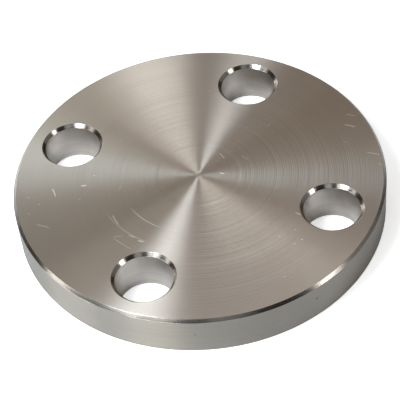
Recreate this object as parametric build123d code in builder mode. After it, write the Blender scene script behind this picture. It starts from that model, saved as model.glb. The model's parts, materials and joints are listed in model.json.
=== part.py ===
from build123d import *
import os

# A flat-faced blind flange: one round plate, turned from bar and drilled, that
# closes the end of a pipe. It has no bore and no raised face. All its sizes are
# in millimetres. The plate stands on its back face at Z = 0, with its axis on Z,
# and its finely turned joint face looks up.

# Plate
outer_diameter = 80.0
plate_thickness = 9.4

# Bolt holes, evenly spaced on the bolt circle and drilled right through
bolt_hole_count = 4
bolt_hole_diameter = 12.0

# Metal left between a bolt hole and the rim
rim_wall = 4.0

# Chamfers at 45 degrees round the joint face
rim_chamfer = 0.6
bolt_hole_chamfer = 0.7

# The edges of the back face are only broken, to take the burr off
back_edge_break = 0.2

# The bolt circle lies inside the rim by that wall and half a hole: 60 mm across.
bolt_circle_diameter = outer_diameter - 2 * rim_wall - bolt_hole_diameter

# The holes straddle the X and Y axes, as flange bolting does about the pipe's
# centre lines, so the first hole is turned by half of one pitch.
first_hole_angle = 180.0 / bolt_hole_count


with BuildPart() as blind_flange:
    # The turned blank: a disc with its back face on the XY plane
    with BuildSketch(Plane.XY):
        Circle(radius=outer_diameter / 2)
    extrude(amount=plate_thickness)

    # The lathe chamfers the rim at the joint face before the plate is drilled
    rim_edges = blind_flange.edges().filter_by(GeomType.CIRCLE).sort_by(Axis.Z)
    chamfer(rim_edges[-1], length=rim_chamfer)

    # The bolt holes, drilled down from the joint face
    joint_plane = Plane.XY.offset(plate_thickness)
    with Locations(joint_plane):
        with PolarLocations(
            radius=bolt_circle_diameter / 2,
            count=bolt_hole_count,
            start_angle=first_hole_angle,
        ):
            Hole(radius=bolt_hole_diameter / 2)

    # Each hole's mouth in the joint face is chamfered, to lead the bolt in
    hole_mouths = blind_flange.edges(Select.LAST).filter_by(GeomType.CIRCLE)
    joint_mouths = hole_mouths.group_by(Axis.Z)[-1]
    chamfer(joint_mouths, length=bolt_hole_chamfer)

    # The back face: its rim and the four hole mouths, all with one small break
    back_edges = blind_flange.edges().filter_by(GeomType.CIRCLE).group_by(Axis.Z)[0]
    chamfer(back_edges, length=back_edge_break)

blind_flange.part.label = "blind_flange"


os.makedirs("parts", exist_ok=True)
export_step(blind_flange.part, "parts/blind_flange.step")
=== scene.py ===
# %% [markdown]
# # A blind flange in bright turned steel
# The real object is one plate. It is turned on a lathe, drilled with four bolt holes, and its
# edges are broken with small chamfers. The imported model, loaded here as the frame, fixes every
# size. This lesson lays a finer skin on that model, unrolls the skin the way the tools cut it,
# and then gives each machined surface the finish of its own tool.

# %% Load the frame
import json
import math

import bpy
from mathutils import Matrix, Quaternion, Vector


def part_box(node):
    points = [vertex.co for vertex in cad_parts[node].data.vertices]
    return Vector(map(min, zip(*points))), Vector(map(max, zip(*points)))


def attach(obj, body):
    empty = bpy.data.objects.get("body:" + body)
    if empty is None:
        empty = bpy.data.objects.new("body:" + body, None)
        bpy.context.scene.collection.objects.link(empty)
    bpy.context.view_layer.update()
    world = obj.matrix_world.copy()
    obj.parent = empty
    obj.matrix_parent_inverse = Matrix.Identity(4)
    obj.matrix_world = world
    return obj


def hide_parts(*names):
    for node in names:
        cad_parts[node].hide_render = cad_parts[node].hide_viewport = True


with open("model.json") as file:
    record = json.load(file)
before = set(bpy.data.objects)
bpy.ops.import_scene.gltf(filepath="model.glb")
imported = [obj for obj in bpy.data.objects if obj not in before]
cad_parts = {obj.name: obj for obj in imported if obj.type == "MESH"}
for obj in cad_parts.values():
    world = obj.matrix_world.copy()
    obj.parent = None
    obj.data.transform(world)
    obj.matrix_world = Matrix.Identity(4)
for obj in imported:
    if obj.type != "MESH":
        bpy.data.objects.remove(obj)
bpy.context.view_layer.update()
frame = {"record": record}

# %% [markdown]
# ## Sizes
# A size that the model already holds is read from it: the plate's radius and height from its
# box, and the holes from the bolt pattern that the record describes. The chamfers are the same
# as in the model. The arris, the last sharp corner beside a chamfer, is rounded by a few
# hundredths of a millimetre, as on any real edge, because that rounding catches the light.

# %% Sizes
MM = 0.001
PLATE_NODE = "blind_flange"
record = frame["record"]
bolt_pattern = next(mount for mount in record["mounts"] if mount["name"] == "bolt_holes")["dims"]
plate_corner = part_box(PLATE_NODE)[1]
plate_radius = plate_corner.x
plate_height = plate_corner.z
hole_count = int(bolt_pattern["count"])
hole_circle_radius = bolt_pattern["pcd_mm"] / 2 * MM
hole_radius = bolt_pattern["hole_r_mm"] * MM
first_hole_turn = math.pi / hole_count
rim_chamfer = 0.6 * MM
mouth_chamfer = 0.7 * MM
back_break = 0.2 * MM
arris_radius = 0.06 * MM
print("plate radius and height:", plate_radius, plate_height)
print("hole circle and hole radius:", hole_circle_radius, hole_radius)

# %% [markdown]
# ## The camera
# The photograph looks down on the joint face at about 45 degrees, through a long lens that is
# rolled a few degrees to one side. A long lens keeps the two ends of the plate nearly as wide
# as each other. The camera is placed by its turn and rise about the plate's axis, then aimed
# and rolled, so each number is one thing that a photographer would change.

# %% Camera
CAMERA_TURN = math.radians(-19.1)
CAMERA_RISE = math.radians(45.78)
CAMERA_DISTANCE = 0.318
CAMERA_ROLL = math.radians(-5.84)
CAMERA_LENS = 133.6
CAMERA_AIM = Vector((-2.67 * MM, -6.93 * MM, plate_height))

face_centre = Vector((0, 0, plate_height))
camera_side = Vector((
    math.sin(CAMERA_TURN) * math.cos(CAMERA_RISE),
    -math.cos(CAMERA_TURN) * math.cos(CAMERA_RISE),
    math.sin(CAMERA_RISE),
))
camera_place = face_centre + camera_side * CAMERA_DISTANCE
level = (CAMERA_AIM - camera_place).to_track_quat("-Z", "Y")
camera_data = bpy.data.cameras.new("camera")
camera_data.lens = CAMERA_LENS
camera_data.clip_start = 0.01
camera = bpy.data.objects.new("camera", camera_data)
camera.rotation_mode = "QUATERNION"
camera.rotation_quaternion = level @ Quaternion((0, 0, 1), CAMERA_ROLL)
camera.location = camera_place
bpy.context.scene.collection.objects.link(camera)
bpy.context.scene.camera = camera
bpy.context.scene.view_settings.view_transform = "Standard"
print("camera at", tuple(round(value, 4) for value in camera_place))

# %% [markdown]
# ## Helpers for nodes
# A material is a small graph. These helpers add one node and fill its inputs in the same
# line, so that the graph can be read from top to bottom. An input takes a number, a colour
# or the output of an earlier node.

# %% Node helpers
def fill(tree, socket, value):
    """Sets a socket from a number or a colour, or links another node's output to it."""
    if isinstance(value, bpy.types.NodeSocket):
        tree.links.new(value, socket)
    else:
        socket.default_value = value


def add_node(tree, kind, inputs=None, **options):
    """Adds a node with its options, and fills its inputs by name or by number."""
    made = tree.nodes.new(kind)
    for name, value in options.items():
        setattr(made, name, value)
    for key, value in (inputs or {}).items():
        fill(tree, made.inputs[key], value)
    return made


def maths(tree, operation, *values):
    """One step of arithmetic on numbers."""
    return add_node(tree, "ShaderNodeMath", dict(enumerate(values)), operation=operation).outputs[0]


print("node helpers:", fill.__name__, add_node.__name__, maths.__name__)

# %% [markdown]
# ## The floor
# The plate lies on a plain sheet of a nearly white colour, which keeps the plate's shadow. The
# lamps are set for the steel and leave the sheet a light grey. A weak glow is seen by the camera
# and in reflections alike, and a stronger lift by the camera alone. They turn the background
# white without one more lamp on the steel.

# %% Floor
FLOOR_REACH = 6.0
FLOOR_GAP = 0.05 * MM
FLOOR_COLOUR = (0.93, 0.93, 0.93, 1)
FLOOR_GLOW = 0.02
CAMERA_LIFT = 0.6


def make_floor():
    """A large square sheet just under the plate."""
    mesh = bpy.data.meshes.new("floor")
    signs = ((-1, -1), (1, -1), (1, 1), (-1, 1))
    corners = [(x * FLOOR_REACH, y * FLOOR_REACH, -FLOOR_GAP) for x, y in signs]
    mesh.from_pydata(corners, [], [(0, 1, 2, 3)])
    sheet = bpy.data.objects.new("floor", mesh)
    bpy.context.scene.collection.objects.link(sheet)
    return sheet


def floor_material():
    """A matt sheet with a weak glow for the rays that look at it."""
    material = bpy.data.materials.new("floor_paper")
    material.use_nodes = True
    tree = material.node_tree
    tree.nodes.clear()
    path = tree.nodes.new("ShaderNodeLightPath").outputs
    seen = maths(tree, "MAXIMUM", path["Is Camera Ray"], path["Is Glossy Ray"])
    seen = maths(tree, "MAXIMUM", seen, path["Is Transmission Ray"])
    lift = maths(tree, "MULTIPLY", path["Is Camera Ray"], CAMERA_LIFT)
    strength = maths(tree, "MULTIPLY_ADD", seen, FLOOR_GLOW, lift)
    glow = add_node(tree, "ShaderNodeEmission", {"Strength": strength})
    matt = add_node(tree, "ShaderNodeBsdfDiffuse", {"Color": FLOOR_COLOUR})
    both = add_node(tree, "ShaderNodeAddShader", {0: matt.outputs[0], 1: glow.outputs[0]})
    add_node(tree, "ShaderNodeOutputMaterial", {"Surface": both.outputs[0]})
    return material


floor = make_floor()
floor.data.materials.append(floor_material())
print("floor colour:", FLOOR_COLOUR[:3])

# %% [markdown]
# ## The lamps
# Turned steel shows its surroundings drawn out into rays, so the lamps are half of its look.
# The rays of the photograph come from one strong soft lamp high on the left, and from weaker
# panels round the far side. Each panel is an area lamp that looks at the middle of the joint
# face. It is placed by a turn from +X, a rise and a distance, and half its width and height are
# angles too. Its radiance is the brightness that a mirror would show. Blender asks for watts,
# and a flat lamp of W watts has a radiance of W over pi times its area. The camera sees no lamp.

# %% Lamps
LIGHT_LEVEL = 1.0
SKY_COLOUR = (0.030, 0.026, 0.023)


def side_at(turn, rise):
    """The direction towards a turn from +X and a rise above the floor, in degrees."""
    turn, rise = math.radians(turn), math.radians(rise)
    level_part = math.cos(rise)
    return Vector((level_part * math.cos(turn), level_part * math.sin(turn), math.sin(rise)))


def shine(lamp, radiance, watts):
    """Gives a lamp its colour and its power, from the watts that a radiance of one takes."""
    strongest = max(radiance)
    lamp.color = [value / strongest for value in radiance]
    lamp.energy = strongest * LIGHT_LEVEL * watts


def hang(lamp, place, side, tilt=0.0):
    """Hangs a lamp on one side of what it looks at, out of the camera's sight."""
    hung = bpy.data.objects.new(lamp.name, lamp)
    hung.location = place
    hung.rotation_mode = "QUATERNION"
    facing = (-side).to_track_quat("-Z", "Y")
    hung.rotation_quaternion = facing @ Quaternion((0, 0, 1), math.radians(tilt))
    hung.visible_camera = False
    bpy.context.scene.collection.objects.link(hung)
    return hung


def soft_panel(name, turn, rise, distance, half_wide, half_tall, tilt, radiance):
    """An area lamp that faces the middle of the joint face."""
    side = side_at(turn, rise)
    wide = 2 * distance * math.tan(math.radians(half_wide))
    tall = 2 * distance * math.tan(math.radians(half_tall))
    lamp = bpy.data.lights.new(name, "AREA")
    lamp.shape = "RECTANGLE"
    lamp.size = wide
    lamp.size_y = tall
    shine(lamp, radiance, math.pi * wide * tall)
    return hang(lamp, face_centre + side * distance, side, tilt)


print("light level:", LIGHT_LEVEL, "sky colour:", SKY_COLOUR)

# %% [markdown]
# Two more kinds of lamp help. A chamfer leans at 45 degrees and mirrors quite other lamps than
# the flat faces do, so a glint is placed where the rim's chamfer mirrors it to the camera. And
# the left side of the face is cooler than the right, which one wide panel can't give. A spot
# with a soft round source lights only that side. The radiance of a ball of radius R that gives
# W watts is W over the square of 2 pi R.

# %% Glints and spots
GLINT_DISTANCE = 0.6


def glint_panel(name, chamfer_turn, half_wide, half_tall, radiance):
    """A small panel that the rim's chamfer mirrors to the camera, at a turn from its near side."""
    turn = CAMERA_TURN + math.radians(chamfer_turn)
    normal = Vector((math.sin(turn), -math.cos(turn), 1)).normalized()
    side = 2 * normal.dot(camera_side) * normal - camera_side
    mirror_turn = math.degrees(math.atan2(side.y, side.x))
    mirror_rise = math.degrees(math.asin(side.z))
    place = (mirror_turn, mirror_rise, GLINT_DISTANCE)
    return soft_panel(name, *place, half_wide, half_tall, 0, radiance)


def soft_spot(name, turn, rise, distance, aim, cone, ball, radiance):
    """A round soft lamp whose beam falls only round one place on the joint face."""
    side = side_at(turn, rise)
    lamp = bpy.data.lights.new(name, "SPOT")
    lamp.spot_size = math.radians(cone)
    lamp.spot_blend = 1.0
    lamp.shadow_soft_size = ball
    shine(lamp, radiance, (2 * math.pi * ball) ** 2)
    return hang(lamp, aim + side * distance, side)


print("glints hang", GLINT_DISTANCE, "m from the joint face")

# %% [markdown]
# The set of lamps follows. The first panels make the rays of the joint face. The low ones light
# the rim, which hardly sees the high ones, and the glints light the chamfers. The room itself
# is nearly dark, as it is round a photographer's table. A panel's line gives its turn, rise,
# distance, half width, half height, tilt and radiance. A glint's gives the turn of the chamfer
# that mirrors it, its half width and height, and its radiance. The spot's gives its turn, rise,
# distance, aim, cone, ball and radiance. Angles are in degrees and distances in metres.

# %% Set of lamps
LEFT_EDGE = Vector((-0.034, 0.020, plate_height))
lamps = [
    soft_spot("cool_left_spot", 89.8, 37.5, 0.6, LEFT_EDGE, 9.0, 0.11, (0.05, 1.6, 3.2)),
    soft_panel("key_panel", 197.6, 58.3, 0.26, 8.0, 10.9, -9, (19.4, 22.0, 24.8)),
    soft_panel("key_skirt", 201.0, 40.0, 0.36, 8.0, 8.0, 0, (3.0, 3.2, 3.2)),
    soft_panel("far_panel", 75.5, 25.5, 0.608, 3.8, 10.0, -3, (6.15, 6.45, 6.65)),
    soft_panel("left_strip", 166.6, 34.1, 0.348, 6.7, 28.3, 1, (0.95, 0.88, 0.82)),
    soft_panel("far_left_panel", 89.8, 37.5, 0.6, 7.1, 19.5, 26, (1.22, 1.4, 1.43)),
    soft_panel("far_fill", 71.0, 50.0, 0.8, 12.0, 8.0, 0, (0.38, 0.17, 0.06)),
    soft_panel("overhead_fill", 71.0, 78.0, 0.8, 12.0, 12.0, 0, (0.4, 0.37, 0.4)),
    soft_panel("low_near_panel", 250.9, 12.0, 0.9, 12.0, 8.0, 0, (1.15, 1.3, 1.28)),
    soft_panel("low_front_panel", 220.0, 14.0, 0.9, 12.0, 8.0, 0, (11.5, 11.8, 10.6)),
    soft_panel("low_left_panel", 176.0, 7.0, 0.8, 14.0, 5.0, 0, (13.0, 14.0, 13.8)),
    soft_panel("low_far_left_panel", 107.0, 14.0, 0.9, 9.0, 6.0, 0, (6.0, 6.2, 6.2)),
    soft_panel("low_back_panel", 95.0, 9.0, 0.9, 14.0, 6.0, 0, (2.3, 1.95, 1.68)),
    soft_panel("right_fill", 345.0, 22.0, 0.9, 24.0, 12.0, 0, (0.2, 0.2, 0.2)),
    glint_panel("near_glint", -16.0, 6.0, 4.5, (2.2, 2.2, 2.3)),
    glint_panel("camera_side_glint", 5.0, 9.0, 4.0, (1.0, 1.0, 1.0)),
    glint_panel("right_glint", 37.0, 6.5, 7.0, (6.5, 6.5, 6.3)),
]
world = bpy.data.worlds.new("dim_room")
world.use_nodes = True
room = world.node_tree.nodes["Background"]
room.inputs["Color"].default_value = (*SKY_COLOUR, 1)
room.inputs["Strength"].default_value = LIGHT_LEVEL
bpy.context.scene.world = world
print("lamps:", [lamp.name for lamp in lamps])

# %% [markdown]
# ## The section of the plate
# A turned part is its section swept round an axis. The section is a list of stations, from the
# middle of the back face, out and up over the rim, and in to the middle of the joint face. Each
# station is a radius, a height and a normal. Writing the normal down keeps the flat faces
# flat to the very edge, which averaged normals would not. Sharp corners become small arcs.

# %% Section
SLANT = math.sqrt(0.5)
DOWN, OUT_DOWN, OUT, OUT_UP, UP = (0, -1), (SLANT, -SLANT), (1, 0), (SLANT, SLANT), (0, 1)
IN_DOWN, IN, IN_UP = (-SLANT, -SLANT), (-1, 0), (-SLANT, SLANT)
ARRIS_STEPS = 3
WALL_STEPS = 6


def rounded(radius, height, normal_before, normal_after):
    """The stations of one corner of the section, rounded by the arris."""
    before, after = Vector(normal_before), Vector(normal_after)
    hub = Vector((radius, height)) - arris_radius * (before + after) / (1 + before.dot(after))
    stations = []
    for step in range(ARRIS_STEPS + 1):
        normal = before.slerp(after, step / ARRIS_STEPS)
        stations.append((hub + arris_radius * normal, normal))
    return stations


def straight(first, last, steps):
    """The stations strictly between two others, for a long run."""
    return [(first[0].lerp(last[0], step / steps), last[1]) for step in range(1, steps)]


def rim_section():
    """The bands of the rim, from the back face up: each has a finish and stations."""
    back_edge = rounded(plate_radius - back_break, 0, DOWN, OUT_DOWN)
    low_edge = rounded(plate_radius, back_break, OUT_DOWN, OUT)
    high_edge = rounded(plate_radius, plate_height - rim_chamfer, OUT, OUT_UP)
    face_edge = rounded(plate_radius - rim_chamfer, plate_height, OUT_UP, UP)
    wall = straight(low_edge[-1], high_edge[0], WALL_STEPS)
    return [
        ("chamfer", back_edge + low_edge),
        ("rim", low_edge[-1:] + wall + high_edge[:1]),
        ("chamfer", high_edge + face_edge),
    ]


def hole_section():
    """The bands of one bolt hole, from the back face up, round the hole's own axis."""
    back_edge = rounded(hole_radius + back_break, 0, DOWN, IN_DOWN)
    low_edge = rounded(hole_radius, back_break, IN_DOWN, IN)
    high_edge = rounded(hole_radius, plate_height - mouth_chamfer, IN, IN_UP)
    face_edge = rounded(hole_radius + mouth_chamfer, plate_height, IN_UP, UP)
    wall = straight(low_edge[-1], high_edge[0], WALL_STEPS)
    return [
        ("mouth", back_edge + low_edge),
        ("bore", low_edge[-1:] + wall + high_edge[:1]),
        ("mouth", high_edge + face_edge),
    ]


def run_lengths(stations):
    """How far along the section each station lies, from the first."""
    lengths = [0.0]
    for (before, _), (after, _) in zip(stations, stations[1:]):
        lengths.append(lengths[-1] + (after - before).length)
    return lengths


rim_bands = rim_section()
hole_bands = hole_section()
face_radii = {"back": rim_bands[0][1][0][0].x, "joint": rim_bands[-1][1][-1][0].x}
mouth_radii = {"back": hole_bands[0][1][0][0].x, "joint": hole_bands[-1][1][-1][0].x}
print("rim bands:", [(finish, len(stations)) for finish, stations in rim_bands])
print("flat faces out to:", face_radii, "hole mouths:", mouth_radii)

# %% [markdown]
# ## The skin
# The flat faces are laid out in rings and columns, like a dart board, so that the mesh follows
# the lathe's tool. A window of rings and columns is left open round each bolt hole. It is
# filled with loops that pass smoothly from the window's outline to the round mouth. A boolean
# would cut the same holes, but it leaves slivers that crossing rings can't follow. Each face
# remembers its finish, the axis its tool turned about, and how far along the section it lies.

# %% Mesh layout
COLUMNS = 320
CENTRE_RINGS = 18
CENTRE_CROWDING = 1.3
WINDOW_ROWS = 20
WINDOW_HALF_COLUMNS = 18
WINDOW_MARGIN = 8.7 * MM
PATCH_STEPS = (0.0, 0.06, 0.16, 0.32, 0.52, 0.75, 1.0)

window_inner = hole_circle_radius - WINDOW_MARGIN
window_outer = hole_circle_radius + WINDOW_MARGIN
rings = [
    window_inner * (step / CENTRE_RINGS) ** CENTRE_CROWDING
    for step in range(1, CENTRE_RINGS)
]
first_window_ring = len(rings)
rings += [
    window_inner + (window_outer - window_inner) * row / WINDOW_ROWS
    for row in range(WINDOW_ROWS + 1)
]
last_window_ring = len(rings) - 1
hole_columns = [
    round(COLUMNS * (first_hole_turn + 2 * math.pi * hole / hole_count) / (2 * math.pi))
    for hole in range(hole_count)
]
print("rings on a face:", len(rings), "columns:", COLUMNS)

# %% [markdown]
# The next cell holds the mesh while it grows. A vertex is kept by a key, so that neighbours
# share it, and a face is kept with the length along the section at each of its corners.

# %% Mesh store
places = []
normals = []
faces = []
known = {}


def vertex(key, place, normal):
    """The number of the vertex with this key, made when it is first asked for."""
    if key not in known:
        known[key] = len(places)
        places.append(Vector(place))
        normals.append(Vector(normal))
    return known[key]


def turned(column, radius, height):
    """A place on the lathe's sweep."""
    turn = 2 * math.pi * column / COLUMNS
    return Vector((radius * math.cos(turn), radius * math.sin(turn), height))


def swept_vertex(name, index, station, column):
    """A vertex of a section that is swept round the plate's axis."""
    column %= COLUMNS
    (radius, height), (out, rise) = station
    turn = 2 * math.pi * column / COLUMNS
    normal = (out * math.cos(turn), out * math.sin(turn), rise)
    return vertex((name, index, column), turned(column, radius, height), normal)


def add_face(finish, hub, corners, lengths):
    """Keeps one face: its finish, its tool's hub, its corners and their lengths."""
    faces.append((finish, hub, corners, lengths))

# %% [markdown]
# The rim goes first: each band of its section is swept through every column. Its first and
# last stations are the outer edges of the two flat faces, so they keep those faces' keys.

# %% Rim faces
FACE_HEIGHTS = {"back": 0.0, "joint": plate_height}
FACE_NORMALS = {"back": (0, 0, -1), "joint": (0, 0, 1)}
PLATE_HUB = (0.0, 0.0)
rim_stations = rim_bands[0][1] + rim_bands[1][1][1:] + rim_bands[2][1][1:]
rim_finishes = [finish for finish, stations in rim_bands for _ in stations[1:]]
rim_lengths = [face_radii["back"] + length for length in run_lengths(rim_stations)]
section_length = rim_lengths[-1] + face_radii["joint"]


def rim_vertex(index, column):
    """A vertex of the rim. Its two ends belong to the flat faces."""
    column %= COLUMNS
    if index == 0:
        return face_vertex("back", len(rings), column)
    if index == len(rim_stations) - 1:
        return face_vertex("joint", len(rings), column)
    return swept_vertex("rim", index, rim_stations[index], column)


def face_vertex(side, ring, column):
    """A vertex of a flat face. Ring -1 is its middle, and the last ring is its edge."""
    column %= COLUMNS
    height = FACE_HEIGHTS[side]
    if ring < 0:
        return vertex((side, "middle"), (0, 0, height), FACE_NORMALS[side])
    radius = face_radii[side] if ring == len(rings) else rings[ring]
    return vertex((side, ring, column), turned(column, radius, height), FACE_NORMALS[side])


for index, finish in enumerate(rim_finishes):
    below, above = rim_lengths[index], rim_lengths[index + 1]
    for column in range(COLUMNS):
        corners = [
            rim_vertex(index, column), rim_vertex(index, column + 1),
            rim_vertex(index + 1, column + 1), rim_vertex(index + 1, column),
        ]
        add_face(finish, PLATE_HUB, corners, [below, below, above, above])
print("rim faces:", len(faces), "section length:", round(section_length / MM, 2), "mm")

# %% [markdown]
# The flat faces come next, ring by ring, with the four windows left open. Seen from outside,
# the corners of every face run anticlockwise, so the back face is laid the other way round.

# %% Flat faces
def face_length(side, place):
    """How far along the plate's section a point of a flat face lies."""
    radius = math.hypot(place[0], place[1])
    return radius if side == "back" else section_length - radius


def in_window(ring, column):
    """Whether the cell outside this ring, to the left of this column, lies in a window."""
    if not first_window_ring <= ring < last_window_ring:
        return False
    half = COLUMNS // 2
    offsets = [(column - middle + half) % COLUMNS - half for middle in hole_columns]
    return any(-WINDOW_HALF_COLUMNS <= offset < WINDOW_HALF_COLUMNS for offset in offsets)


def add_flat(side, corners):
    """Keeps one face of a flat side, turned to look outwards."""
    if side == "joint":
        corners = corners[::-1]
    lengths = [face_length(side, places[corner]) for corner in corners]
    add_face(side, PLATE_HUB, corners, lengths)


for side in ("back", "joint"):
    for column in range(COLUMNS):
        add_flat(side, [
            face_vertex(side, -1, column),
            face_vertex(side, 0, column + 1), face_vertex(side, 0, column),
        ])
        for ring in range(len(rings)):
            if not in_window(ring, column):
                add_flat(side, [
                    face_vertex(side, ring, column), face_vertex(side, ring, column + 1),
                    face_vertex(side, ring + 1, column + 1), face_vertex(side, ring + 1, column),
                ])
print("faces so far:", len(faces))

# %% [markdown]
# ## The bolt holes
# Every point on a window's outline sends a spoke to the hole, and down through the bore to the
# other face. The spokes carry the loops on both flat faces and the bore's own section, so the
# hole's mouth is one row of vertices that the flat face and the chamfer share.

# %% Bolt holes
hole_stations = hole_bands[0][1] + hole_bands[1][1][1:] + hole_bands[2][1][1:]
hole_finishes = [finish for finish, stations in hole_bands for _ in stations[1:]]
hole_lengths = run_lengths(hole_stations)


def window_outline(middle):
    """The rings and columns of the points round a window, anticlockwise from above."""
    left, right = middle - WINDOW_HALF_COLUMNS, middle + WINDOW_HALF_COLUMNS
    outline = [(first_window_ring, column) for column in range(right, left, -1)]
    outline += [(ring, left) for ring in range(first_window_ring, last_window_ring)]
    outline += [(last_window_ring, column) for column in range(left, right)]
    outline += [(ring, right) for ring in range(last_window_ring, first_window_ring, -1)]
    return outline


def hole_vertex(hole, hub, index, spoke, direction):
    """A vertex of a hole's section. Its two ends are the rows that the flat faces share."""
    (radius, height), (out, rise) = hole_stations[index]
    place = (hub.x + radius * direction.x, hub.y + radius * direction.y, height)
    return vertex(("hole", hole, index, spoke), place, (out * direction.x, out * direction.y, rise))


def patch_vertex(side, hole, hub, step, spoke, ring, column, direction):
    """A vertex on a spoke between the hole's mouth and the window's outline."""
    last = len(hole_stations) - 1
    if step == 0:
        return hole_vertex(hole, hub, 0 if side == "back" else last, spoke, direction)
    outline = face_vertex(side, ring, column)
    if step == len(PATCH_STEPS) - 1:
        return outline
    radius = mouth_radii[side]
    mouth = Vector((hub.x + radius * direction.x, hub.y + radius * direction.y, FACE_HEIGHTS[side]))
    place = mouth.lerp(places[outline], PATCH_STEPS[step])
    return vertex((side, hole, "patch", step, spoke), place, FACE_NORMALS[side])


for hole, middle in enumerate(hole_columns):
    hub = turned(middle, hole_circle_radius, 0)
    outline = window_outline(middle)
    spokes = []
    for spoke, (ring, column) in enumerate(outline):
        reach = turned(column, rings[ring], 0) - hub
        spokes.append((spoke, ring, column, reach.normalized()))
    for here, there in zip(spokes, spokes[1:] + spokes[:1]):
        for side in ("back", "joint"):
            for step in range(len(PATCH_STEPS) - 1):
                add_flat(side, [
                    patch_vertex(side, hole, hub, step, *here),
                    patch_vertex(side, hole, hub, step, *there),
                    patch_vertex(side, hole, hub, step + 1, *there),
                    patch_vertex(side, hole, hub, step + 1, *here),
                ])
        for index, finish in enumerate(hole_finishes):
            corners = [
                hole_vertex(hole, hub, index, there[0], there[3]),
                hole_vertex(hole, hub, index, here[0], here[3]),
                hole_vertex(hole, hub, index + 1, here[0], here[3]),
                hole_vertex(hole, hub, index + 1, there[0], there[3]),
            ]
            below, above = hole_lengths[index], hole_lengths[index + 1]
            add_face(finish, (hub.x, hub.y), corners, [below, below, above, above])
print("vertices:", len(places), "faces:", len(faces), "spokes a hole:", len(spokes))

# %% [markdown]
# ## Unrolling the skin
# Brushed and turned metal needs a direction: the way the tool moved. A UV map gives it. On the
# map tool_path, U runs along the tool's path and V across it, in millimetres, so a shader can
# ask for both. The second map has the same layout, scaled into one square without overlaps.
# It is there for whoever bakes the finishes into pictures, and keeps the fine rings straight.

# %% Skin object
STRIP_GAP = 0.01
PLATE_STRIP = 0.84
FINISHES = ("joint", "back", "rim", "chamfer", "mouth", "bore")
HOLE_FINISHES = ("mouth", "bore")
AT_THE_HUB = 1e-9


def corner_turns(hub, corners):
    """The turn of each corner about the hub, kept within half a turn of the face's middle."""
    middle = sum((places[corner] for corner in corners), Vector()) / len(corners)
    middle_turn = math.atan2(middle.y - hub[1], middle.x - hub[0])
    turns = []
    for corner in corners:
        offset = places[corner].xy - Vector(hub)
        if offset.length < AT_THE_HUB:
            turns.append(middle_turn)
            continue
        swing = math.atan2(offset.y, offset.x) - middle_turn
        turns.append(middle_turn + (swing + math.pi) % (2 * math.pi) - math.pi)
    return turns


def hole_number(hub):
    """Which bolt hole a hub is."""
    turn = math.atan2(hub[1], hub[0]) % (2 * math.pi)
    return round((turn - first_hole_turn) / (2 * math.pi / hole_count))


def path_corner(finish, turn, length):
    """A corner on the tool's path, in millimetres. In a hole the path runs the other way."""
    if finish in HOLE_FINISHES:
        return (-turn * hole_radius / MM, length / MM)
    return (turn * plate_radius / MM, length / MM)


def packed_corner(finish, hub, turn, length):
    """The same corner in the unit square: the plate's strip below, the four holes above it."""
    share = turn / (2 * math.pi) + 0.5
    inside = 1 - 2 * STRIP_GAP
    scale = PLATE_STRIP / section_length
    if finish in HOLE_FINISHES:
        across = (hole_number(hub) + STRIP_GAP + (1 - share) * inside) / hole_count
        return (across, PLATE_STRIP + 3 * STRIP_GAP + length * scale)
    return (STRIP_GAP + share * inside, STRIP_GAP + length * scale)


def make_skin():
    """The mesh with its finishes, its normals and its two maps."""
    mesh = bpy.data.meshes.new("turned_plate")
    mesh.from_pydata(places, [], [corners for _, _, corners, _ in faces])
    path_map = mesh.uv_layers.new(name="tool_path").data
    packed_map = mesh.uv_layers.new(name="OFBake").data
    for polygon, (finish, hub, corners, lengths) in zip(mesh.polygons, faces):
        polygon.material_index = FINISHES.index(finish)
        polygon.use_smooth = True
        turns = corner_turns(hub, corners)
        for loop, turn, length in zip(polygon.loop_indices, turns, lengths):
            path_map[loop].uv = path_corner(finish, turn, length)
            packed_map[loop].uv = packed_corner(finish, hub, turn, length)
    mesh.normals_split_custom_set_from_vertices(normals)
    skin = bpy.data.objects.new("turned_plate", mesh)
    bpy.context.scene.collection.objects.link(skin)
    return skin


plate = make_skin()
triangles = sum(len(polygon.vertices) - 2 for polygon in plate.data.polygons)
print("triangles:", triangles, "valid:", not plate.data.validate())

# %% [markdown]
# ## Helpers for the finishes
# The finishes are longer graphs than the floor's, and need more kinds of step: vectors, noise,
# ranges and mixed colours. The Mix node has a set of sockets for each kind of data, and those
# for colours go by number. What several finishes share goes into a node group, which is made
# once with named sockets and then placed in each material with its own values.

# %% Finish helpers
MIX_FIRST_COLOUR = 6
MIX_SECOND_COLOUR = 7
MIX_COLOUR_RESULT = 2


def vectors(tree, operation, *values):
    """One step of arithmetic on vectors."""
    inputs = dict(enumerate(values))
    return add_node(tree, "ShaderNodeVectorMath", inputs, operation=operation).outputs["Vector"]


def measured(tree, operation, *values):
    """A number taken from vectors, such as a length or a distance."""
    inputs = dict(enumerate(values))
    return add_node(tree, "ShaderNodeVectorMath", inputs, operation=operation).outputs["Value"]


def scaled(tree, vector, factor):
    """A vector made longer or shorter by a number."""
    inputs = {0: vector, "Scale": factor}
    return add_node(tree, "ShaderNodeVectorMath", inputs, operation="SCALE").outputs["Vector"]


def joined(tree, **parts):
    """A vector from its parts along X, Y and Z. A part that isn't given is zero."""
    return add_node(tree, "ShaderNodeCombineXYZ", parts).outputs["Vector"]


def noise_along(tree, place, detail):
    """A smooth random value along one line."""
    inputs = {"W": place, "Detail": detail}
    return add_node(tree, "ShaderNodeTexNoise", inputs, noise_dimensions="1D").outputs[0]


def mixed(tree, share, first, second):
    """A colour that goes from the first to the second as the share goes from zero to one."""
    inputs = {"Factor": share, MIX_FIRST_COLOUR: first, MIX_SECOND_COLOUR: second}
    return add_node(tree, "ShaderNodeMix", inputs, data_type="RGBA").outputs[MIX_COLOUR_RESULT]


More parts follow.
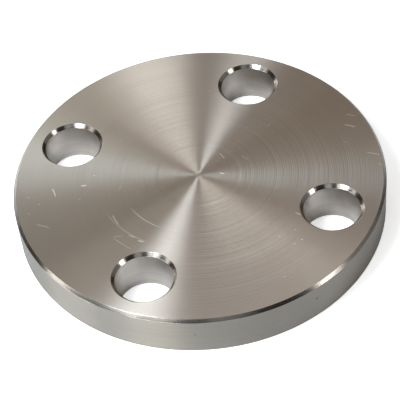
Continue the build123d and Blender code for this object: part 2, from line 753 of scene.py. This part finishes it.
def remap(tree, value, low, high, new_low, new_high, shape="LINEAR"):
    """Carries a value from one range to another, and holds it there."""
    inputs = {
        "Value": value, "From Min": low, "From Max": high,
        "To Min": new_low, "To Max": new_high,
    }
    return add_node(tree, "ShaderNodeMapRange", inputs, interpolation_type=shape).outputs[0]


def new_group(name, inputs, outputs):
    """An empty shader node group with named sockets: each has a kind and a first value."""
    tree = bpy.data.node_groups.new(name, "ShaderNodeTree")
    for label, (kind, value) in inputs.items():
        socket = tree.interface.new_socket(label, in_out="INPUT", socket_type="NodeSocket" + kind)
        socket.default_value = value
    for label, kind in outputs.items():
        tree.interface.new_socket(label, in_out="OUTPUT", socket_type="NodeSocket" + kind)
    given = tree.nodes.new("NodeGroupInput").outputs
    result = tree.nodes.new("NodeGroupOutput").inputs
    return tree, given, result


def use_group(tree, group, inputs):
    """Places a group in a material with its own values."""
    made = tree.nodes.new("ShaderNodeGroup")
    made.node_tree = group
    for key, value in inputs.items():
        fill(tree, made.inputs[key], value)
    return made.outputs


finish_helpers = (
    vectors, measured, scaled, joined, noise_along, mixed, remap, new_group, use_group,
)
print("finish helpers:", [helper.__name__ for helper in finish_helpers])

# %% [markdown]
# ## Where a point lies for its tool
# Every finish here is cut round an axis: the plate's own, or that of a bolt hole. This group
# answers the same questions for both: which way the point lies from the axis, how far out it
# is and how high, in millimetres. A hub offset of zero stands for the plate's axis. Otherwise
# it is how far the holes' axes lie from the plate's centre lines, in X and in Y.

# %% Group: round an axis
IN_MILLIMETRES = (1 / MM, 1 / MM, 1 / MM)


def round_axis_group():
    """The group that says which way, how far out and how high a point lies."""
    tree, given, result = new_group(
        "round_an_axis",
        {"Hub Offset": ("Float", 0.0)},
        {"Direction": "Vector", "Reach": "Float", "Height": "Float", "Place": "Vector"},
    )
    point = tree.nodes.new("ShaderNodeTexCoord").outputs["Object"]
    place = vectors(tree, "MULTIPLY", point, IN_MILLIMETRES)
    part = add_node(tree, "ShaderNodeSeparateXYZ", {0: place}).outputs
    offsets = []
    for axis in ("X", "Y"):
        hub = maths(tree, "MULTIPLY", maths(tree, "SIGN", part[axis]), given["Hub Offset"])
        offsets.append(maths(tree, "SUBTRACT", part[axis], hub))
    flat = joined(tree, X=offsets[0], Y=offsets[1])
    fill(tree, result["Direction"], vectors(tree, "NORMALIZE", flat))
    fill(tree, result["Reach"], measured(tree, "LENGTH", flat))
    fill(tree, result["Height"], part["Z"])
    fill(tree, result["Place"], place)
    return tree


round_axis = round_axis_group()
print("group:", round_axis.name)

# %% [markdown]
# ## The tool's rings
# A turning tool has a rounded nose and moves on by its feed at each turn, so it leaves a row of
# shallow scallops with thin ridges between them. Across one scallop the slope goes evenly from
# one side to the other, and that is a saw wave. The group gives the normal of that slope, by way
# of the tool_path map. It also gives a tone and a patchiness that differ a little from one ring
# to the next and along the rings, as the chip tears more or less cleanly.

# %% Group: tool rings
DRIFT_PACE = 0.31
BROAD_PACE = 0.9
BROAD_DETAIL = 4.0
STREAK_TURN = (7.0, 7.0, 0.0)
STREAK_PACE = 3.0
STREAK_DETAIL = 4.0


def tool_rings_group():
    """The group that gives the slope, tone and patchiness of a turned surface."""
    tree, given, result = new_group(
        "tool_rings",
        {
            "Across": ("Float", 0.0), "Direction": ("Vector", (0, 0, 0)), "Feed": ("Float", 0.35),
            "Slope": ("Float", 0.1), "Contrast": ("Float", 0.1), "Bands": ("Float", 0.05),
        },
        {"Normal": "Vector", "Tone": "Float", "Patchiness": "Float"},
    )
    drift = noise_along(tree, maths(tree, "MULTIPLY", given["Across"], DRIFT_PACE), 1.0)
    phase = maths(tree, "ADD", maths(tree, "DIVIDE", given["Across"], given["Feed"]), drift)
    saw = maths(tree, "MULTIPLY", maths(tree, "SUBTRACT", maths(tree, "FRACT", phase), 0.5), 2.0)
    lean = maths(tree, "MULTIPLY", saw, maths(tree, "MULTIPLY", given["Slope"], -0.5))
    slope_colour = joined(tree, X=0.5, Y=maths(tree, "ADD", lean, 0.5), Z=1.0)
    normal = add_node(
        tree, "ShaderNodeNormalMap", {"Color": slope_colour}, space="TANGENT", uv_map="tool_path",
    )
    ring_number = maths(tree, "FLOOR", phase)
    ring_chance = add_node(
        tree, "ShaderNodeTexWhiteNoise", {"W": ring_number}, noise_dimensions="1D",
    ).outputs["Value"]
    broad = noise_along(tree, maths(tree, "MULTIPLY", given["Across"], BROAD_PACE), BROAD_DETAIL)
    along = vectors(tree, "MULTIPLY", given["Direction"], STREAK_TURN)
    lift = joined(tree, Z=maths(tree, "MULTIPLY", given["Across"], STREAK_PACE))
    streaks = add_node(tree, "ShaderNodeTexNoise", {
        "Vector": vectors(tree, "ADD", along, lift), "Scale": 1.0, "Detail": STREAK_DETAIL,
    }).outputs[0]
    streak_swing = maths(tree, "SUBTRACT", streaks, 0.5)
    ring_swing = maths(tree, "SUBTRACT", ring_chance, 0.5)
    band_swing = maths(tree, "SUBTRACT", broad, 0.5)
    ring_part = maths(tree, "MULTIPLY", ring_swing, given["Contrast"])
    band_part = maths(tree, "MULTIPLY", band_swing, given["Bands"])
    streak_part = maths(tree, "MULTIPLY", streak_swing, given["Contrast"])
    ring_tone = maths(tree, "ADD", ring_part, band_part)
    tone = maths(tree, "ADD", ring_tone, maths(tree, "ADD", streak_part, 1.0))
    fill(tree, result["Normal"], normal.outputs[0])
    fill(tree, result["Tone"], tone)
    fill(tree, result["Patchiness"], maths(tree, "ADD", ring_chance, streak_swing))
    return tree


tool_rings = tool_rings_group()
print("group:", tool_rings.name)

# %% [markdown]
# ## Scratches
# Handling leaves two kinds of mark on a bright face. Long scratches are few, and each lies where
# something slid, so each is placed from its two ends, with a bow between them. The mark
# is strongest along its middle line and thins out towards both ends. The group puts out a mask,
# and each material decides what a mark does.

# %% Group: one scratch
LINE_CORE = 0.4
TAPER_END = 0.6


def scratch_group():
    """The group that masks one bowed scratch between two points of a flat face."""
    tree, given, result = new_group(
        "one_scratch",
        {
            "Place": ("Vector", (0, 0, 0)),
            "From": ("Vector", (0, 0, 0)), "To": ("Vector", (1, 0, 0)),
            "Bow": ("Float", 0.0), "Width": ("Float", 0.1), "Depth": ("Float", 1.0),
        },
        {"Mask": "Float"},
    )
    flat = vectors(tree, "MULTIPLY", given["Place"], (1, 1, 0))
    run = vectors(tree, "SUBTRACT", given["To"], given["From"])
    reach = vectors(tree, "SUBTRACT", flat, given["From"])
    along = measured(tree, "DOT_PRODUCT", reach, run)
    square = measured(tree, "DOT_PRODUCT", run, run)
    share = add_node(
        tree, "ShaderNodeMath", {0: along, 1: square}, operation="DIVIDE", use_clamp=True,
    ).outputs[0]
    rest = maths(tree, "SUBTRACT", 1.0, share)
    belly = maths(tree, "MULTIPLY", maths(tree, "MULTIPLY", share, rest), 4.0)
    sideways = vectors(tree, "NORMALIZE", vectors(tree, "CROSS_PRODUCT", (0, 0, 1), run))
    bent = scaled(tree, sideways, maths(tree, "MULTIPLY", belly, given["Bow"]))
    on_line = scaled(tree, run, share)
    gap = vectors(tree, "SUBTRACT", reach, vectors(tree, "ADD", on_line, bent))
    core = maths(tree, "DIVIDE", measured(tree, "LENGTH", gap), given["Width"])
    line = remap(tree, core, LINE_CORE, 1.0, 1.0, 0.0, "SMOOTHSTEP")
    taper = remap(tree, belly, 0.0, TAPER_END, 0.0, given["Depth"])
    fill(tree, result["Mask"], maths(tree, "MULTIPLY", line, taper))
    return tree


one_scratch = scratch_group()
print("group:", one_scratch.name)

# %% [markdown]
# ## Nicks
# Nicks are the other kind of mark: many, small and random. A field of cells gives one short
# dash to some of its cells, at an angle and of a length of its own. That costs one texture for
# any number of nicks, where placed marks would cost a group each.

# %% Group: scattered nicks
SHORTEST_NICK = 0.15
NICK_CORE = 0.4
NICK_TAPER = 0.6


def nicks_group():
    """The group that masks random short dashes."""
    tree, given, result = new_group(
        "scattered_nicks",
        {
            "Place": ("Vector", (0, 0, 0)), "Spacing": ("Float", 5.0), "Chance": ("Float", 0.3),
            "Length": ("Float", 0.8), "Width": ("Float", 0.08),
        },
        {"Mask": "Float"},
    )
    scale = maths(tree, "DIVIDE", 1.0, given["Spacing"])
    cells = add_node(tree, "ShaderNodeTexVoronoi", {"Vector": given["Place"], "Scale": scale})
    chance = add_node(tree, "ShaderNodeSeparateColor", {0: cells.outputs["Color"]}).outputs
    offset = vectors(tree, "SUBTRACT", given["Place"], cells.outputs["Position"])
    angle = maths(tree, "MULTIPLY", chance[0], math.pi)
    way = joined(tree, X=maths(tree, "COSINE", angle), Y=maths(tree, "SINE", angle))
    along = measured(tree, "DOT_PRODUCT", offset, way)
    distance = measured(tree, "LENGTH", offset)
    distance_square = maths(tree, "MULTIPLY", distance, distance)
    along_square = maths(tree, "MULTIPLY", along, along)
    across_square = maths(tree, "SUBTRACT", distance_square, along_square)
    across = maths(tree, "SQRT", maths(tree, "MAXIMUM", 0.0, across_square))
    length_chance = maths(tree, "ADD", chance[1], SHORTEST_NICK)
    half_length = maths(tree, "MULTIPLY", given["Length"], length_chance)
    end_share = maths(tree, "DIVIDE", maths(tree, "ABSOLUTE", along), half_length)
    ends = remap(tree, end_share, NICK_TAPER, 1.0, 1.0, 0.0)
    side_share = maths(tree, "DIVIDE", across, given["Width"])
    sides = remap(tree, side_share, NICK_CORE, 1.0, 1.0, 0.0)
    there = maths(tree, "LESS_THAN", chance[2], given["Chance"])
    fill(tree, result["Mask"], maths(tree, "MULTIPLY", maths(tree, "MULTIPLY", ends, sides), there))
    return tree


scattered_nicks = nicks_group()
print("group:", scattered_nicks.name)

# %% [markdown]
# ## One steel, several cuts
# The whole plate is one bar of bright stainless steel, so every finish starts from the same
# metal. The chamfers' steel is a little whiter with how clean the cut leaves it. The rim's is
# darker, as painted shade, and the bores' is lighter, as painted light. What differs most is how
# rough it is along the cut and across it. Grooves scatter light across themselves and hardly
# along themselves. The tangent is the way along the groove, from the tool_path map, and a
# quarter turn of the anisotropy puts the wide spread across it. The shader takes one roughness
# and an anisotropy instead of two spreads. The fourth power of the roughness is their product,
# and their ratio, along to across, is one less nine tenths of the anisotropy. The rings then
# change the colour, the roughness and the normal a little, and marks are laid over them.

# %% Steel
STEEL = (0.468, 0.418, 0.364)
QUARTER_TURN = 0.25
ANISOTROPY_SHARE = 0.9
PLATE_AXIS = 0.0
NICK_DEPTH = 0.02 * MM
NICK_STRENGTH = 0.6


def steel(name, spread_across, spread_along):
    """A steel with its own spread across and along the cut. Gives its nodes for the detail."""
    material = bpy.data.materials.new(name)
    material.use_nodes = True
    tree = material.node_tree
    shader = tree.nodes["Principled BSDF"]
    shader.inputs["Metallic"].default_value = 1.0
    ratio = spread_along / spread_across
    shader.inputs["Anisotropic"].default_value = (1 - ratio) / ANISOTROPY_SHARE
    shader.inputs["Anisotropic Rotation"].default_value = QUARTER_TURN
    shader.inputs["Roughness"].default_value = (spread_across * spread_along) ** 0.25
    path = add_node(tree, "ShaderNodeTangent", direction_type="UV_MAP", uv_map="tool_path")
    fill(tree, shader.inputs["Tangent"], path.outputs[0])
    return material, tree, shader


def cut_rings(tree, shader, colour, hub_offset, measure, swing, **rings):
    """Cuts the tool's rings into a steel about an axis, and gives where each point lies."""
    here = use_group(tree, round_axis, {"Hub Offset": hub_offset})
    rings_here = use_group(tree, tool_rings, {
        "Across": here[measure], "Direction": here["Direction"], **rings,
    })
    tone = rings_here["Tone"]
    toned = vectors(tree, "MULTIPLY", colour, joined(tree, X=tone, Y=tone, Z=tone))
    fill(tree, shader.inputs["Base Color"], toned)
    roughness = shader.inputs["Roughness"]
    chance = maths(tree, "SUBTRACT", rings_here["Patchiness"], 0.5)
    fill(tree, roughness, maths(tree, "MULTIPLY_ADD", chance, swing, roughness.default_value))
    fill(tree, shader.inputs["Normal"], rings_here["Normal"])
    return here


def lay_over(tree, shader, mask, colour):
    """Lays a colour over a steel's own, where the mask is one."""
    socket = shader.inputs["Base Color"]
    fill(tree, socket, mixed(tree, mask, socket.links[0].from_socket, colour))


def cut_nicks(tree, shader, nicks):
    """Cuts nicks into a steel's rings."""
    socket = shader.inputs["Normal"]
    cut = add_node(tree, "ShaderNodeBump", {
        "Height": nicks, "Distance": NICK_DEPTH, "Strength": NICK_STRENGTH,
        "Normal": socket.links[0].from_socket,
    }, invert=True)
    fill(tree, socket, cut.outputs[0])


print("steel colour:", STEEL)

# %% [markdown]
# ## The joint face
# The face that meets the gasket is faced off from the rim to the middle at one even feed, so
# it carries the long rays. Its rings are a little less than half a millimetre apart. The
# scratches are the ones that show on the real face. Each has two ends, a bow and a width in
# millimetres, and a depth from zero to one. Each spot has its place and its depth, and is drawn
# as a short dash. The scratches, spots and nicks are real wear, and their pale colour is a
# painted highlight for the light that a groove across the lay scatters.

# %% Joint face
FACE_FEED = 0.46
# Painted highlight: the marks are real wear, and this pale colour stands in for the light they
# scatter.
MARK_GLINT_COLOUR = (0.9, 0.88, 0.85, 1)
NICK_SHARE = 0.5
SPOT_WIDTH = 0.17
SPOT_HALF_RUN = Vector((0.2, -0.15))
SCRATCHES = [
    ((-16.7, -2.1), (-13.1, -10.4), -0.62, 0.13, 0.92),
    ((-21.8, -1.3), (-16.8, -13.2), -1.00, 0.13, 0.57),
    ((-20.8, -2.4), (-20.6, -5.8), -0.10, 0.14, 1.00),
    ((-19.9, -9.3), (-18.7, -10.7), -0.04, 0.16, 0.80),
    ((-18.7, -11.5), (-17.7, -12.5), -0.03, 0.23, 1.00),
    ((-23.0, -8.5), (-20.6, -13.4), -0.14, 0.13, 0.52),
    ((-23.1, -8.3), (-20.9, -9.0), 0.05, 0.13, 0.46),
    ((-29.7, 10.7), (-29.9, 7.9), 0.10, 0.18, 1.00),
    ((-23.9, 8.5), (-22.7, 8.1), 0.00, 0.25, 0.98),
    ((-36.3, 2.3), (-33.9, 0.0), 0.10, 0.16, 0.69),
    ((34.5, -0.5), (36.4, -2.4), 0.05, 0.18, 1.00),
    ((36.3, 2.2), (38.1, 0.7), 0.03, 0.16, 0.69),
    ((34.8, -10.3), (37.2, -12.4), 0.05, 0.16, 0.75),
    ((6.6, 4.0), (6.9, 1.8), 0.05, 0.14, 0.92),
    ((4.2, -1.5), (5.1, -2.3), 0.00, 0.22, 1.00),
    ((10.5, 1.2), (11.4, -1.0), 0.06, 0.13, 0.57),
    ((13.6, -19.2), (14.4, -20.3), 0.00, 0.20, 1.00),
]
SPOTS = [
    (-20.2, 10.1, 0.5), (-25.5, 4.9, 0.5), (-35.1, 10.4, 0.5), (-33.8, 7.5, 0.6), (-36.6, 5.9, 0.5),
    (32.4, -5.4, 0.5), (35.8, -14.8, 0.6), (19.8, 6.9, 0.7), (12.7, 23.1, 0.5), (11.6, -26.6, 0.8),
    (11.6, -23.5, 0.5), (7.9, -23.7, 0.5), (9.8, -27.0, 0.5), (4.2, -33.9, 0.5), (-11.1, 17.3, 0.4),
]


def spot_dash(x, y, depth):
    """A spot as a straight scratch: its two ends, bow, width and depth."""
    start = (x - SPOT_HALF_RUN.x, y - SPOT_HALF_RUN.y)
    end = (x + SPOT_HALF_RUN.x, y + SPOT_HALF_RUN.y)
    return (start, end, 0.0, SPOT_WIDTH, depth)


def joint_face_marks(tree, place, nicks):
    """The mask of every scratch, spot and nick on the joint face, which gets the painted highlight.
    """
    marks = maths(tree, "MULTIPLY", nicks, NICK_SHARE)
    dashes = [spot_dash(*spot) for spot in SPOTS]
    for start, end, bow, width, depth in SCRATCHES + dashes:
        scratch = use_group(tree, one_scratch, {
            "Place": place, "From": (*start, 0), "To": (*end, 0),
            "Bow": bow, "Width": width, "Depth": depth,
        })
        marks = maths(tree, "MAXIMUM", marks, scratch["Mask"])
    return marks


def joint_face_material():
    """The finely turned joint face with its placed scratches."""
    material, tree, shader = steel("joint_face_turned", spread_across=0.31, spread_along=0.039)
    here = cut_rings(
        tree, shader, STEEL, PLATE_AXIS, "Reach", 0.01,
        Feed=FACE_FEED, Slope=0.08, Contrast=0.02, Bands=0.01,
    )
    nicks = use_group(tree, scattered_nicks, {
        "Place": here["Place"], "Spacing": 4.5, "Chance": 0.10,
    })["Mask"]
    lay_over(tree, shader, joint_face_marks(tree, here["Place"], nicks), MARK_GLINT_COLOUR)
    cut_nicks(tree, shader, nicks)
    return material


joint_face = joint_face_material()
print("finish:", joint_face.name)

# %% [markdown]
# ## The back face
# The back is only faced off to length, with a coarser feed. Nobody seals against it, so it
# carries more handling marks.

# %% Back face
def back_face_material():
    """The plainer turned back face."""
    material, tree, shader = steel("back_face_turned", spread_across=0.30, spread_along=0.06)
    here = cut_rings(
        tree, shader, STEEL, PLATE_AXIS, "Reach", 0.03,
        Feed=0.5, Slope=0.10, Contrast=0.16, Bands=0.12,
    )
    nicks = use_group(tree, scattered_nicks, {
        "Place": here["Place"], "Spacing": 4.0, "Chance": 0.35,
    })["Mask"]
    cut_nicks(tree, shader, nicks)
    return material


back_face = back_face_material()
print("finish:", back_face.name)

# %% [markdown]
# ## The rim
# The rim is turned along its width, so its grooves run round it and spread the light widely up
# and down. Its skin is rougher than the face's. Its steel is painted a darker grey, as shade,
# so that it mirrors the pale floor more dimly. Its nicks are painted as dark dashes of shade.
# Two small pits show on the real rim. Each is painted as a soft dark dot of shade round one
# place on the skin.

# %% Rim finish
# Painted shade: the rim's steel is darker than the face's so that it mirrors the pale floor more
# dimly.
SHADED_RIM_STEEL = (0.325, 0.293, 0.260)
# Painted shade: the rim's nicks are dark dashes of colour, with no dent cut.
RIM_NICK_SHADE_COLOUR = (0.12, 0.12, 0.12, 1)
# Painted shade: each pit is a soft dark dot of colour, with no dent cut.
PIT_SHADE_COLOUR = (0.05, 0.05, 0.05, 1)
PIT_REACH = 0.5
PITS = [((8.8, -39.0, 5.6), 0.7), ((-16.7, -36.3, 5.3), 0.35)]


def pit_shade_mask(tree, place):
    """How much painted shade a place gets from the rim's pits, by its distance in millimetres from
    their middles.
    """
    mask = 0.0
    for middle, depth in PITS:
        gap = measured(tree, "DISTANCE", place, middle)
        pit = remap(tree, gap, 0.0, PIT_REACH, depth, 0.0, "SMOOTHSTEP")
        mask = maths(tree, "MAXIMUM", mask, pit)
    return mask


def rim_material():
    """The turned rim, with painted shade for its nicks and pits."""
    material, tree, shader = steel("rim_turned", spread_across=0.34, spread_along=0.06)
    here = cut_rings(
        tree, shader, SHADED_RIM_STEEL, PLATE_AXIS, "Height", 0.03,
        Feed=0.22, Slope=0.06, Contrast=0.08, Bands=0.05,
    )
    nicks = use_group(tree, scattered_nicks, {
        "Place": here["Place"], "Spacing": 5.0, "Chance": 0.25, "Length": 0.3, "Width": 0.12,
    })["Mask"]
    lay_over(tree, shader, nicks, RIM_NICK_SHADE_COLOUR)
    lay_over(tree, shader, pit_shade_mask(tree, here["Place"]), PIT_SHADE_COLOUR)
    return material


rim_finish = rim_material()
print("finish:", rim_finish.name)

# %% [markdown]
# ## The chamfers
# A chamfer is one pass of a sharp tool with no feed, so it comes out nearly polished. It
# mirrors single lamps as short bright dashes with black between them, in a whiter steel. The
# rim's chamfers turn about the plate's axis and the mouths' about their own, so one function
# makes both.

# %% Chamfers
CHAMFER_STEEL = (0.50, 0.46, 0.425)
hole_axis = hole_circle_radius / MM * math.cos(first_hole_turn)


def chamfer_material(name, hub_offset):
    """A polished chamfer about the plate's axis or about the bolt holes' axes."""
    material, tree, shader = steel(name, spread_across=0.06, spread_along=0.03)
    cut_rings(
        tree, shader, CHAMFER_STEEL, hub_offset, "Height", 0.04,
        Feed=0.16, Slope=0.02, Contrast=0.10, Bands=0.05,
    )
    return material


rim_chamfer_finish = chamfer_material("rim_chamfer_polished", PLATE_AXIS)
mouth_chamfer_finish = chamfer_material("mouth_chamfer_polished", hole_axis)
print("finishes:", rim_chamfer_finish.name, mouth_chamfer_finish.name)

# %% [markdown]
# ## The bores
# A drill leaves fine rings down the wall of its hole, less even than a lathe's. Its steel is
# painted lighter than the rest, as painted light. Seen from above, the far side of a bore
# mirrors the pale floor under the hole.

# %% Bores
# Painted light: the bores' steel is lighter than the face's to brighten them.
LIT_BORE_STEEL = (0.57, 0.51, 0.45)


def bore_material():
    """The drilled wall of a bolt hole."""
    material, tree, shader = steel("bore_drilled", spread_across=0.14, spread_along=0.08)
    cut_rings(
        tree, shader, LIT_BORE_STEEL, hole_axis, "Height", 0.06,
        Feed=0.3, Slope=0.08, Contrast=0.14, Bands=0.2,
    )
    return material


bore_finish = bore_material()
print("finish:", bore_finish.name)

# %% [markdown]
# ## Putting the skin in the frame
# The finishes go on in the order of the list that the faces were numbered by. The skin then
# rides on the model's one body and stands for the plain solid, which is hidden.

# %% Into the frame
finish_materials = {
    "joint": joint_face, "back": back_face, "rim": rim_finish,
    "chamfer": rim_chamfer_finish, "mouth": mouth_chamfer_finish, "bore": bore_finish,
}
for finish in FINISHES:
    plate.data.materials.append(finish_materials[finish])
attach(plate, "root")
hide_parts(PLATE_NODE)
